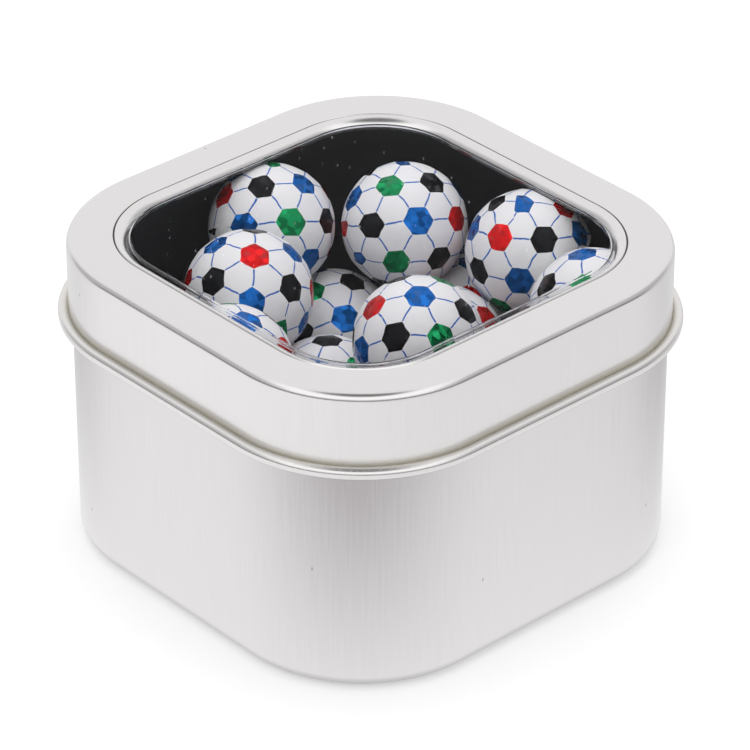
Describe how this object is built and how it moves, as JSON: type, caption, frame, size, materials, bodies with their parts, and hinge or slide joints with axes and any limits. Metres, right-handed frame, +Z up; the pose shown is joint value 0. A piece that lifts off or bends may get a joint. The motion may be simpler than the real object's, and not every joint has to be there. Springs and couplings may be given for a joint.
{
  "type": "window lid tin",
  "caption": "Square tinplate tin with rounded corners, a lift-off lid with a clear window, and a loose fill of foil-wrapped chocolate balls.",
  "frame": {"origin": "on the table under the middle of the tin", "axes": "+Z up through the window, +X and +Y square to the tin's straight sides"},
  "size_m": [0.0886, 0.0886, 0.0562],
  "materials": {
    "tinplate": "satin tinplate",
    "clear_sheet": "clear formed plastic sheet",
    "printed_foil": "white-printed crinkled foil",
    "chocolate": "milk chocolate"
  },
  "bodies": {
    "tin": {"tin_body": "tinplate"},
    "lid": {"lid_shell": "tinplate", "window_pane": "clear_sheet"},
    "ball_01": {"foil_wrap_01": "printed_foil", "chocolate_ball_01": "chocolate"},
    "ball_02": {"foil_wrap_02": "printed_foil", "chocolate_ball_02": "chocolate"},
    "ball_03": {"foil_wrap_03": "printed_foil", "chocolate_ball_03": "chocolate"},
    "ball_04": {"foil_wrap_04": "printed_foil", "chocolate_ball_04": "chocolate"},
    "ball_05": {"foil_wrap_05": "printed_foil", "chocolate_ball_05": "chocolate"},
    "ball_06": {"foil_wrap_06": "printed_foil", "chocolate_ball_06": "chocolate"},
    "ball_07": {"foil_wrap_07": "printed_foil", "chocolate_ball_07": "chocolate"},
    "ball_08": {"foil_wrap_08": "printed_foil", "chocolate_ball_08": "chocolate"},
    "ball_09": {"foil_wrap_09": "printed_foil", "chocolate_ball_09": "chocolate"},
    "ball_10": {"foil_wrap_10": "printed_foil", "chocolate_ball_10": "chocolate"},
    "ball_11": {"foil_wrap_11": "printed_foil", "chocolate_ball_11": "chocolate"},
    "ball_12": {"foil_wrap_12": "printed_foil", "chocolate_ball_12": "chocolate"},
    "ball_13": {"foil_wrap_13": "printed_foil", "chocolate_ball_13": "chocolate"},
    "ball_14": {"foil_wrap_14": "printed_foil", "chocolate_ball_14": "chocolate"},
    "ball_15": {"foil_wrap_15": "printed_foil", "chocolate_ball_15": "chocolate"},
    "ball_16": {"foil_wrap_16": "printed_foil", "chocolate_ball_16": "chocolate"},
    "ball_17": {"foil_wrap_17": "printed_foil", "chocolate_ball_17": "chocolate"},
    "ball_18": {"foil_wrap_18": "printed_foil", "chocolate_ball_18": "chocolate"},
    "ball_19": {"foil_wrap_19": "printed_foil", "chocolate_ball_19": "chocolate"},
    "ball_20": {"foil_wrap_20": "printed_foil", "chocolate_ball_20": "chocolate"},
    "ball_21": {"foil_wrap_21": "printed_foil", "chocolate_ball_21": "chocolate"},
    "ball_22": {"foil_wrap_22": "printed_foil", "chocolate_ball_22": "chocolate"}
  },
  "joints": [
    {"name": "lid_lift", "type": "slide", "parent": "tin", "child": "lid", "axis": [0, 0, 1], "range_m": [0, 0.05]},
    {"name": "ball_01_roll", "type": "hinge", "parent": "tin", "child": "ball_01", "pos_m": [-0.02695, -0.02603, 0.0112], "axis": [1, 0, 0], "continuous": true},
    {"name": "ball_02_roll", "type": "hinge", "parent": "tin", "child": "ball_02", "pos_m": [0.03002, -0.00459, 0.0112], "axis": [1, 0, 0], "continuous": true},
    {"name": "ball_03_roll", "type": "hinge", "parent": "tin", "child": "ball_03", "pos_m": [-0.02634, 0.02634, 0.0112], "axis": [1, 0, 0], "continuous": true},
    {"name": "ball_04_roll", "type": "hinge", "parent": "tin", "child": "ball_04", "pos_m": [-0.0049, -0.02512, 0.0112], "axis": [1, 0, 0], "continuous": true},
    {"name": "ball_05_roll", "type": "hinge", "parent": "tin", "child": "ball_05", "pos_m": [0.02113, -0.03002, 0.0112], "axis": [1, 0, 0], "continuous": true},
    {"name": "ball_06_roll", "type": "hinge", "parent": "tin", "child": "ball_06", "pos_m": [0.00061, 0.0049, 0.0112], "axis": [1, 0, 0], "continuous": true},
    {"name": "ball_07_roll", "type": "hinge", "parent": "tin", "child": "ball_07", "pos_m": [0.00888, 0.03032, 0.0112], "axis": [1, 0, 0], "continuous": true},
    {"name": "ball_08_roll", "type": "hinge", "parent": "tin", "child": "ball_08", "pos_m": [0.03002, 0.02113, 0.0112], "axis": [1, 0, 0], "continuous": true},
    {"name": "ball_09_roll", "type": "hinge", "parent": "tin", "child": "ball_09", "pos_m": [-0.03032, -0.00398, 0.0112], "axis": [1, 0, 0], "continuous": true},
    {"name": "ball_10_roll", "type": "hinge", "parent": "tin", "child": "ball_10", "pos_m": [0.01899, -0.03002, 0.03289], "axis": [1, 0, 0], "continuous": true},
    {"name": "ball_11_roll", "type": "hinge", "parent": "tin", "child": "ball_11", "pos_m": [-0.00949, 0.03032, 0.02445], "axis": [1, 0, 0], "continuous": true},
    {"name": "ball_12_roll", "type": "hinge", "parent": "tin", "child": "ball_12", "pos_m": [0.02848, 0.00858, 0.02895], "axis": [1, 0, 0], "continuous": true},
    {"name": "ball_13_roll", "type": "hinge", "parent": "tin", "child": "ball_13", "pos_m": [-0.02052, 0.01011, 0.02464], "axis": [1, 0, 0], "continuous": true},
    {"name": "ball_14_roll", "type": "hinge", "parent": "tin", "child": "ball_14", "pos_m": [-0.00061, -0.00888, 0.02805], "axis": [1, 0, 0], "continuous": true},
    {"name": "ball_15_roll", "type": "hinge", "parent": "tin", "child": "ball_15", "pos_m": [0.00429, 0.01256, 0.03128], "axis": [1, 0, 0], "continuous": true},
    {"name": "ball_16_roll", "type": "hinge", "parent": "tin", "child": "ball_16", "pos_m": [-0.03002, 0.00459, 0.04347], "axis": [1, 0, 0], "continuous": true},
    {"name": "ball_17_roll", "type": "hinge", "parent": "tin", "child": "ball_17", "pos_m": [-0.01501, 0.02144, 0.04358], "axis": [1, 0, 0], "continuous": true},
    {"name": "ball_18_roll", "type": "hinge", "parent": "tin", "child": "ball_18", "pos_m": [0.00613, 0.03032, 0.04378], "axis": [1, 0, 0], "continuous": true},
    {"name": "ball_19_roll", "type": "hinge", "parent": "tin", "child": "ball_19", "pos_m": [-0.01501, -0.01348, 0.04376], "axis": [1, 0, 0], "continuous": true},
    {"name": "ball_20_roll", "type": "hinge", "parent": "tin", "child": "ball_20", "pos_m": [0.0144, -0.00245, 0.04344], "axis": [1, 0, 0], "continuous": true},
    {"name": "ball_21_roll", "type": "hinge", "parent": "tin", "child": "ball_21", "pos_m": [0.02757, 0.0245, 0.04381], "axis": [1, 0, 0], "continuous": true},
    {"name": "ball_22_roll", "type": "hinge", "parent": "tin", "child": "ball_22", "pos_m": [-0.00061, -0.02996, 0.04243], "axis": [1, 0, 0], "continuous": true}
  ]
}
